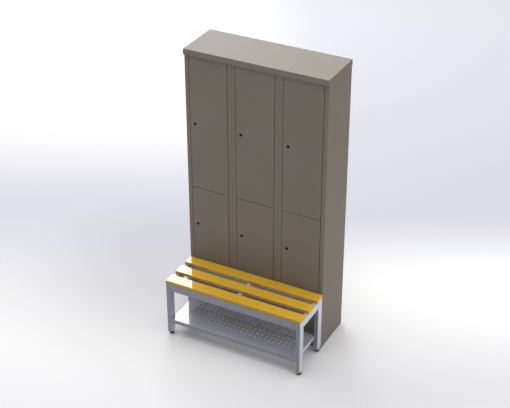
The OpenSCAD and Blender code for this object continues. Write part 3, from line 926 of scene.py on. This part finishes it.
@dataclass
class SlatScrews:
    """Nine pan-head screws that hold the slats from inside the frame tubes."""

    node: str = "slat_screws"
    head: float = 4.5 * MM
    head_height: float = 2.5 * MM
    head_edge: float = 0.5 * MM
    head_shares: tuple[float, float] = (0.7, 0.92)
    shank: float = 2.2 * MM
    plain_shank: float = 2.5 * MM
    pitch: float = 1.4 * MM
    thread_depth: float = 0.5 * MM
    ridge: Profile = ((1.0, 0.0), (0.0, 0.3), (1.0, 0.6))
    point: float = 2 * MM
    point_shares: tuple[float, float] = (0.6, 0.75)
    key: float = 3.0 * MM
    key_shares: tuple[float, float] = (0.57, 0.62)
    key_depth: float = 1.4 * MM
    key_ease: float = 0.15 * MM

    def build(self) -> None:
        """Turns one screw and repeats it over the frame."""
        low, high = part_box(self.node)
        seat, tip = self.head_height, high.z - low.z
        socket, mouth = (self.key * share for share in self.key_shares)
        crown, brim = (self.head * share for share in self.head_shares)
        thin, taper = self.point_shares
        profile = [(0, self.key_depth), (socket, self.key_depth), (socket, self.key_ease), (mouth, 0.0),
                   (crown, 0.0), (brim, self.head_edge), (self.head, self.key_depth), (self.head, seat),
                   (self.shank, seat),
                   *thread(self.shank, self.thread_depth, self.pitch, seat + self.plain_shank,
                           tip - self.point, self.ridge),
                   (self.shank * thin, tip - taper * self.point), (0, tip)]
        work = bmesh.new()
        add_turned(work, profile, Matrix.Identity(4), radius_at=hexagon(self.key, (1, 2), profile))
        reach = Vector((high.x - low.x - 2 * self.head, high.y - low.y - 2 * self.head)) / 2
        mesh = repeat("slat_screw_grid", mesh_of(work), (low.x + self.head, low.y + self.head, low.z),
                      ZINC, Row(3, reach.x), Row(3, reach.y, "Y"))
        settle("slat_screws_turned", mesh, ZINC, ROOT, (self.node,))


@dataclass
class JoiningBolts:
    """Two bolts with their nuts, from the bench's rear rail into the locker's plinth."""

    across: float = 10 * MM
    head_height: float = 4 * MM
    head_edge: float = 1 * MM
    head_share: float = 0.45
    nut_share: float = 0.46
    radius: float = 3 * MM
    plain_shank: float = 12 * MM
    pitch: float = 1.0 * MM
    thread_depth: float = 0.4 * MM
    chamfer: float = 0.8 * MM
    bore_ease: float = 0.3 * MM
    bore_gap: float = 0.02 * MM
    steps: int = 60

    def build(self) -> None:
        """Turns one bolt and one nut and repeats both across the bench."""
        low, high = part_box("joining_bolts")
        corner, seat, end = self.across / math.sqrt(3), self.head_height, high.y - low.y
        last = end - self.pitch
        bolt = [(0, 0.0), (self.across * self.head_share, 0.0), (corner, self.head_edge), (corner, seat),
                (self.radius, seat),
                *thread(self.radius, self.thread_depth, self.pitch, seat + self.plain_shank, last),
                (self.radius, last), (self.radius - self.chamfer, end), (0, end)]
        self.place_pair("joining_bolts", bolt, (2, 3), closed=False)
        low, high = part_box("joining_nuts")
        thick, face = high.y - low.y, self.across * self.nut_share
        bore, eased = self.radius + self.bore_gap, self.radius + self.bore_gap + self.bore_ease
        nut = [(bore, self.bore_ease), (eased, 0.0), (face, 0.0), (corner, self.chamfer),
               (corner, thick - self.chamfer), (face, thick), (eased, thick), (bore, thick - self.bore_ease)]
        self.place_pair("joining_nuts", nut, (3, 4), closed=True)

    def place_pair(self, node: str, profile: Profile, flats: tuple[int, ...], closed: bool) -> None:
        """Turns a piece and repeats it at both joining holes.

        Args:
            node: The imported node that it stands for.
            profile: Its profile, from its front.
            flats: Profile points that follow the hexagon.
            closed: Whether it has a bore.
        """
        low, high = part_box(node)
        work = bmesh.new()
        add_turned(work, profile, TO_REAR, self.steps, hexagon(self.across, flats, profile), closed)
        corner = self.across / math.sqrt(3)
        mesh = repeat(f"{node}_pair", mesh_of(work), (low.x + corner, low.y, (low.z + high.z) / 2), ZINC,
                      Row(2, high.x - low.x - 2 * corner))
        settle(f"{node}_turned", mesh, ZINC, ROOT, (node,))


@dataclass
class SpotWelds:
    """Shallow electrode marks up the rear returns of the side walls."""

    mark: float = 3.2 * MM
    depth: float = 0.12 * MM
    pitch: float = 110 * MM
    margin: float = 60 * MM
    from_edge: float = 8 * MM
    dish: Profile = ((0, 0.0), (1.0, 0.0), (1.0, 0.5), (0.85, 1.0), (0.6, 0.5), (0, 0.35))
    columns: int = 3
    steps: int = 24

    def build(self) -> None:
        """Repeats a pair of dished marks over the columns and up the returns."""
        left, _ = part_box("side_wall_1_left")
        second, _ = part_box("side_wall_2_left")
        _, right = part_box("side_wall_1_right")
        work = bmesh.new()
        profile = [(radius * self.mark, height * self.depth) for radius, height in self.dish]
        for x in (self.from_edge, right.x - left.x - self.from_edge):
            add_turned(work, profile, Matrix.Translation((x, 0, 0)) @ TO_REAR, self.steps)
        count = int((right.z - 2 * self.margin) // self.pitch) + 1
        mesh = repeat("spot_weld_rows", mesh_of(work), (left.x, right.y, self.margin), BODY_COAT,
                      Row(self.columns, second.x - left.x), Row(count, self.pitch, "Z"))
        settle("spot_weld_marks", mesh, BODY_COAT, ROOT)


@dataclass
class LockSet:
    """Cylinder lock of one door: barrel with its nut, and the turning plug."""

    level: Level
    column: int
    head: float = 9 * MM
    chamfer: float = 0.9 * MM
    head_edge: float = 0.25 * MM
    head_share: float = 0.45
    shank: float = 8 * MM
    bore: float = 5.56 * MM
    bore_ease: float = 0.3 * MM
    pitch: float = 1.0 * MM
    thread_depth: float = 0.35 * MM
    end_ease: float = 0.4 * MM
    nut_front: float = 1 * MM
    nut_rear: float = 5 * MM
    nut_ease: float = 0.6 * MM
    nut_share: float = 0.9
    nut_steps: int = 72
    key_width: float = 1.2 * MM
    key_length: float = 6.5 * MM
    key_depth: float = 7 * MM
    key_clear: float = 2 * MM
    plug_sink: float = 0.4 * MM
    rim: float = 0.2 * MM
    rim_steps: tuple[float, ...] = (1.3 * MM, 0.9 * MM, 0.4 * MM)
    cam_thickness: float = 2 * MM
    cam_square: float = 6 * MM
    screw_across: float = 8 * MM

    @property
    def tag(self) -> str:
        """Level and column as the node names have them."""
        return f"{self.level.value}_{self.column}"

    def build(self) -> None:
        """Builds barrel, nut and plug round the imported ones."""
        low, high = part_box(f"lock_plug_{self.tag}")
        centre = (low + high) / 2
        place = Matrix.Translation((centre.x, 0.0, centre.z)) @ TO_REAR
        self.build_barrel(place)
        self.build_plug(place, low.y, high.y, (high.x - low.x) / 2)

    def build_barrel(self, place: Matrix) -> None:
        """Builds the headed and threaded barrel with its six-sided nut.

        Args:
            place: From the lock's axis to the row frame.
        """
        node = f"lock_barrel_{self.tag}"
        low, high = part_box(node)
        front, rear, across = low.y, high.y, high.z - low.z
        head, shank, bore = self.head, self.shank, self.bore
        seat, end = self.nut_front, self.nut_rear
        work = bmesh.new()
        add_turned(work, [
            (bore, front + self.bore_ease), (bore + self.bore_ease, front), (head - self.chamfer, front),
            (head - self.head_edge, front + self.chamfer * self.head_share), (head, front + self.chamfer),
            (head, 0.0), (shank, 0.0), (shank, end),
            *thread(shank, self.thread_depth, self.pitch, end + self.pitch, rear),
            (shank, rear - self.end_ease), (shank - self.end_ease, rear), (bore, rear),
        ], place, closed=True)
        outer = across / math.sqrt(3)
        face = outer * self.nut_share
        nut = [(shank, seat), (face, seat), (outer, seat + self.nut_ease), (outer, end - self.nut_ease),
               (face, end), (shank, end)]
        add_turned(work, nut, place, self.nut_steps, hexagon(across, range(1, 5), nut), closed=True)
        settle(f"lock_barrel_set_{self.tag}", mesh_of(work), LOCK_BLACK, f"door_{self.tag}", (node,))

    def build_plug(self, place: Matrix, front: float, rear: float, radius: float) -> None:
        """Builds the plug with its key slot, its square end and its screw.

        Args:
            place: From the lock's axis to the row frame.
            front: Front of the plug.
            rear: Rear of its screw head.
            radius: Radius of the plug.
        """
        cam_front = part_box(f"lock_cam_{self.tag}")[0].y
        cam_rear = cam_front + self.cam_thickness
        face = front + self.plug_sink
        inner, crest, outer = (radius - step for step in self.rim_steps)
        work = bmesh.new()
        add_turned(work, [(0, face), (inner, face), (crest, face - self.rim), (outer, face - self.rim),
                          (radius, face + self.rim), (radius, cam_front), (0, cam_front)], place)
        body = mesh_of(work)
        cut = bmesh.new()
        add_block(cut, (0, 0, face + (self.key_depth - self.key_clear) / 2),
                  (self.key_width, self.key_length, self.key_depth + self.key_clear), place)
        work = work_of(carve(body, mesh_of(cut)))
        add_block(work, (0, 0, (cam_front + cam_rear) / 2),
                  (self.cam_square, self.cam_square, self.cam_thickness), place)
        screw = [(0, cam_rear), (radius, cam_rear), (radius, rear - self.end_ease),
                 (radius - self.end_ease, rear), (0, rear)]
        add_turned(work, screw, place, radius_at=hexagon(self.screw_across, (1, 2, 3), screw))
        settle(f"lock_plug_set_{self.tag}", mesh_of(work), LOCK_BLACK, f"plug_{self.tag}",
               (f"lock_plug_{self.tag}",))


@dataclass
class LevellingFoot:
    """Screw foot under one leg: ribbed pad, six-sided collar and threaded stem."""

    side: str
    end: str
    pad: float = 14 * MM
    pad_rim: float = 4 * MM
    pad_edge: float = 1 * MM
    pad_top: float = 12 * MM
    neck: float = 9 * MM
    neck_rise: float = 0.6 * MM
    neck_ease: float = 0.2 * MM
    collar: float = 7 * MM
    collar_across: float = 12.4 * MM
    collar_top: float = 17.7 * MM
    collar_points: tuple[int, ...] = (7, 8, 9)
    stem: float = 4 * MM
    stem_tip: float = 1 * MM
    ease: float = 0.4 * MM
    pad_ease: float = 0.8 * MM
    ribs: int = 24
    rib_depth: float = 0.5 * MM
    rib_points: tuple[int, ...] = (2, 3)
    pitch: float = 1.25 * MM
    thread_depth: float = 0.5 * MM

    def build(self) -> None:
        """Turns the foot round its stem's axis."""
        tag = f"foot_{self.end}_{self.side}"
        low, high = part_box(tag)
        pad, rim, neck, top = self.pad, self.pad_rim, self.neck, self.pad_top
        collar, collar_top = self.collar, self.collar_top
        end = high.z - self.stem_tip
        profile = [(0, 0.0), (pad - self.pad_edge, 0.0), (pad, self.pad_ease), (pad, rim),
                   (pad - self.pad_ease, rim + self.pad_edge), (neck + self.ease, top - self.neck_rise),
                   (neck - self.neck_ease, top), (collar, top), (collar, collar_top - self.ease),
                   (collar - self.ease, collar_top), (self.stem, collar_top),
                   *thread(self.stem, self.thread_depth, self.pitch, collar_top + self.pitch, end),
                   (self.stem, end), (self.stem - self.pad_ease, high.z), (0, high.z)]
        flats = hexagon(self.collar_across, self.collar_points, profile)

        def radius_at(index: int, angle: float) -> float:
            """Radius with grip ribs on the pad and flats on the collar."""
            depth = self.rib_depth if index in self.rib_points else 0.0
            return flats(index, angle) - depth * (0.5 - 0.5 * math.cos(self.ribs * angle))

        work = bmesh.new()
        place = Matrix.Translation(((low.x + high.x) / 2, (low.y + high.y) / 2, 0))
        add_turned(work, profile, place, 6 * self.ribs, radius_at)
        settle(f"{tag}_turned", mesh_of(work, 40), PLASTIC, tag, (tag,))


# ---------------------------------------------------------------- studio


@dataclass(frozen=True)
class StudioFloor(Finish):
    """Pale seamless studio paper on the floor.

    The eye sees a matt, nearly white ground whose tint drifts slowly from white to a
    faint lavender, with the object's soft shadow on it. Beside the object's right the paper
    is paler as painted light, and beside its left it is greyer as a painted shadow.
    """

    name: str = "pale_studio_paper"
    turn: float = math.radians(27.8)
    depth: tuple[float, float] = (-1.0, 6.0)
    across: tuple[float, float] = (-0.3, 0.8)
    left: tuple[tuple[float, str], ...] = (
        (0.0, "#d0d0d3"), (0.12, "#d5d5d6"), (0.36, "#babac3"), (0.52, "#cecece"))
    # The right ramp's lightest stop, just beside the object, is painted light against the shade the object
    # casts there; the rest is the paper's own tint.
    right: tuple[tuple[float, str], ...] = (
        (0.04, "#c9c9cc"), (0.2, "#e2e2e2"), (0.34, "#b7b9c2"), (1.0, "#c0c2c9"))
    painted_shadow_centre: Place = (-0.6, 0.6, 0.0)
    painted_shadow_reach: tuple[float, float] = (0.2, 1.2)
    painted_shadow_value: float = 0.84

    def build(self, shade: Shade) -> None:
        """Builds the slow drift of the tint over the floor, with its painted light and painted shadow."""
        turned = shade.node("ShaderNodeMapping", {"Rotation": (0.0, 0.0, self.turn), "Vector": shade.place()},
                            vector_type="TEXTURE").outputs["Vector"]
        split = shade.node("ShaderNodeSeparateXYZ", {"Vector": turned}).outputs
        depth = shade.spread(split["Y"], 0.0, 1.0, *self.depth)
        across = shade.spread(split["X"], 0.0, 1.0, *self.across, "SMOOTHSTEP")
        tint = shade.blend(across, shade.ramp(depth, self.left), shade.ramp(depth, self.right))
        # Painted shadow: the paper greys round a point beside the object's left.
        reach = shade.node("ShaderNodeVectorMath", {0: turned, 1: self.painted_shadow_centre}, operation="DISTANCE")
        grey = shade.spread(reach.outputs["Value"], self.painted_shadow_value, 1.0, *self.painted_shadow_reach, "SMOOTHSTEP")
        shade.surface({"Base Color": shade.valued(tint, grey), "Roughness": 0.9, "Specular IOR Level": 0.1})


@dataclass
class Studio:
    """Floor, lamps, surroundings and camera."""

    lens: float = 86.89
    sensor: float = 36.0
    clip_end: float = 200.0
    azimuth: float = 27.80
    elevation: float = 31.11
    roll: float = -0.06
    position: Place = (2.87483, -5.45237, 4.62144)
    floor_half: float = 30.0
    floor_drop: float = 0.3 * MM
    sun_distance: float = 5.0
    seat: Place = (-0.35, -0.15, 0.35)
    rear_distance: float = 7.0
    fill_place: Place = (0.0, -0.15, 0.093)

    def build(self) -> None:
        """Sets the whole studio."""
        self.build_floor()
        self.build_surroundings()
        self.build_lamps()
        self.build_camera()

    def build_floor(self) -> None:
        """Lays the floor just under the object."""
        work = bmesh.new()
        bmesh.ops.create_grid(work, x_segments=4, y_segments=4, size=self.floor_half,
                              matrix=Matrix.Translation((0, 0, -self.floor_drop)))
        mesh = raw_mesh(work, "studio_floor")
        mesh.materials.append(StudioFloor().material())
        add_object("studio_floor", mesh)

    @staticmethod
    def build_surroundings() -> None:
        """Surrounds the object with faint even light, and with a pale view for the camera and for gloss."""
        world = bpy.data.worlds.new("pale_room")
        bpy.context.scene.world = world
        world.use_nodes = True
        world.node_tree.nodes.clear()
        room = Nodes(world.node_tree)
        path = room.node("ShaderNodeLightPath").outputs
        fill = room.node("ShaderNodeBackground", {"Color": linear("#f2f4ff"), "Strength": 0.12})
        view = room.node("ShaderNodeBackground", {"Color": linear("#f4f5fb"), "Strength": 1.0})
        mirrored = room.math("MAXIMUM", path["Is Glossy Ray"], path["Is Transmission Ray"])
        # Past a matt bounce the view would light the object, so gloss meets it only before one.
        early = room.math("LESS_THAN", path["Diffuse Depth"], 0.5)
        seen = room.math("MAXIMUM", path["Is Camera Ray"], room.math("MULTIPLY", mirrored, early))
        mix = room.node("ShaderNodeMixShader", {0: seen, 1: fill.outputs["Background"],
                                                2: view.outputs["Background"]})
        room.node("ShaderNodeOutputWorld", {"Surface": mix.outputs["Shader"]})

    def build_lamps(self) -> None:
        """Hangs the soft lamps: over the object, to its right, behind it and low under its shelf."""
        self.soft_sun("overhead_softbox", towards=(-0.10, 0.0, 1.0), strength=1.15, spread_degrees=72)
        self.soft_sun("right_softbox", towards=(1.0, 0.1, 0.35), strength=0.2, spread_degrees=60,
                      colour="#ffeeda")
        rear = self.panel("rear_softbox", size=(2.2, 1.8), radiance=9.5)
        way = Vector((-0.44, 0.69, 0.575)).normalized()
        rear.location = Vector(self.seat) + self.rear_distance * way
        rear.rotation_euler = way.to_track_quat("Z", "Y").to_euler()
        low = self.panel("low_fill", size=(0.82, 0.22), radiance=0.38)
        low.location = self.fill_place
        low.visible_glossy = False

    @staticmethod
    def panel(name: str, size: tuple[float, float], radiance: float) -> Object:
        """Adds one bright rectangular lamp that the camera doesn't see.

        Args:
            name: The lamp's name.
            size: Width and height of the lamp.
            radiance: How bright its face is.

        Returns:
            The lamp, at the origin and facing down.
        """
        lamp = bpy.data.lights.new(name, "AREA")
        lamp.shape = "RECTANGLE"
        lamp.size, lamp.size_y = size
        lamp.energy = radiance * math.pi * size[0] * size[1]
        item = add_object(name, lamp)
        item.visible_camera = False
        return item

    def soft_sun(self, name: str, towards: Place, strength: float, spread_degrees: float,
                 colour: str = "#ffffff") -> None:
        """Adds one even lamp that looks as wide as a softbox.

        Args:
            name: The lamp's name.
            towards: Direction from the object to the lamp.
            strength: Its strength.
            spread_degrees: How wide it looks from the object.
            colour: Its hex colour.
        """
        lamp = bpy.data.lights.new(name, "SUN")
        lamp.energy = strength * math.pi
        lamp.color = linear(colour)[:3]
        lamp.angle = math.radians(spread_degrees)
        item = add_object(name, lamp)
        item.rotation_euler = Vector(towards).to_track_quat("Z", "Y").to_euler()
        item.location = Vector(towards).normalized() * self.sun_distance

    def build_camera(self) -> None:
        """Sets the camera at the photograph's place, view and lens."""
        az, el = math.radians(self.azimuth), math.radians(self.elevation)
        back = Vector((math.sin(az) * math.cos(el), -math.cos(az) * math.cos(el), math.sin(el)))
        right = Vector((math.cos(az), math.sin(az), 0))
        turn = Matrix((right, back.cross(right), back)).transposed().to_4x4()
        data = bpy.data.cameras.new("view")
        data.lens = self.lens
        data.sensor_width = self.sensor
        data.clip_end = self.clip_end
        camera = add_object("view", data)
        camera.matrix_world = (Matrix.Translation(self.position) @ turn
                               @ Matrix.Rotation(math.radians(self.roll), 4, "Z"))
        bpy.context.scene.camera = camera
        bpy.context.scene.view_settings.view_transform = "Standard"


def main() -> None:
    """Builds the studio and every piece in order."""
    logging.basicConfig(level=logging.INFO, format="%(name)s: %(message)s")
    Studio().build()
    dress_cad_nodes()
    SeatSlats().build()
    ShoeShelf().build()
    WeldBeads().build()
    SlatScrews().build()
    JoiningBolts().build()
    SpotWelds().build()
    for level in Level:
        for column in (1, 2, 3):
            LockSet(level, column).build()
    for end in ("front", "rear"):
        for side in ("left", "right"):
            LevellingFoot(side, end).build()


if __name__ == "__main__":
    main()
